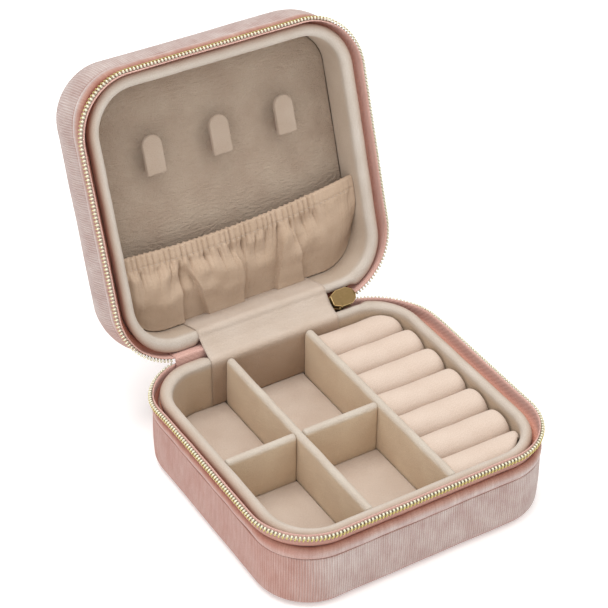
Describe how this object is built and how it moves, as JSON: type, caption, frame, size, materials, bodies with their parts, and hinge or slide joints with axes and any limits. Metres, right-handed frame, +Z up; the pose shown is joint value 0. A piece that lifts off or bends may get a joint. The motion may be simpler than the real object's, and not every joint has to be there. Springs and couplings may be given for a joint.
{
  "type": "travel jewelry case",
  "caption": "Square zip-round travel jewelry case with ribbed velvet outside, suede-lined tray with dividers and ring rolls, and a hinged lid with necklace hooks and a gathered pocket.",
  "frame": {"origin": "centre of the base's flat bottom, on the table", "axes": "+Z up, +Y from the front to the hinge at the back, +X to the ring rolls on the right"},
  "size_m": [0.1032, 0.1474, 0.1186],
  "materials": {
    "velvet": "matte",
    "lining": "matte",
    "roll_suede": "matte",
    "pocket_cloth": "matte",
    "elastic": "matte",
    "zip_tape": "matte",
    "zip_coil": "polished",
    "zip_metal": "polished",
    "board": "matte",
    "foam": "matte"
  },
  "bodies": {
    "base": {"base_velvet": "velvet", "base_board": "board", "base_band": "velvet", "base_tape": "zip_tape", "base_coil": "zip_coil", "base_foam": "foam", "tray_wall": "lining", "tray_floor": "lining", "divider_left": "lining", "divider_right": "lining", "cross_left": "lining", "cross_middle": "lining", "strip_base": "lining", "spine_base": "velvet", "ring_roll_1": "roll_suede", "ring_roll_2": "roll_suede", "ring_roll_3": "roll_suede", "ring_roll_4": "roll_suede", "ring_roll_5": "roll_suede", "ring_roll_6": "roll_suede", "ring_roll_7": "roll_suede"},
    "lid": {"lid_velvet": "velvet", "lid_board": "board", "lid_band": "velvet", "lid_tape": "zip_tape", "lid_coil": "zip_coil", "lid_foam": "foam", "lid_wall": "lining", "lid_panel": "lining", "pocket": "pocket_cloth", "pocket_elastic": "elastic", "strip_lid": "lining", "spine_lid": "velvet", "hook_tab_left": "lining", "hook_post_left": "lining", "hook_tab_middle": "lining", "hook_post_middle": "lining", "hook_tab_right": "lining", "hook_post_right": "lining"},
    "slider": {"zip_slider": "zip_metal"},
    "pull": {"pull_tab": "zip_metal"}
  },
  "joints": [
    {"name": "lid_hinge", "type": "hinge", "parent": "base", "child": "lid", "pos_m": [0, 0.04705, 0.0283], "axis": [1, 0, 0], "range_deg": [-9.5, 108.5]},
    {"name": "slider_tilt", "type": "hinge", "parent": "base", "child": "slider", "pos_m": [0.0289, 0.04705, 0.0283], "axis": [1, 0, 0], "range_deg": [-4.75, 54.25]},
    {"name": "pull_hang", "type": "hinge", "parent": "slider", "child": "pull", "pos_m": [0.0289, 0.0488, 0.02586], "axis": [1, 0, 0], "range_deg": [-54.25, 4.75]}
  ],
  "couplings": [
    {"joint": "slider_tilt", "follows": "lid_hinge", "ratio": 0.5},
    {"joint": "pull_hang", "follows": "lid_hinge", "ratio": -0.5}
  ]
}
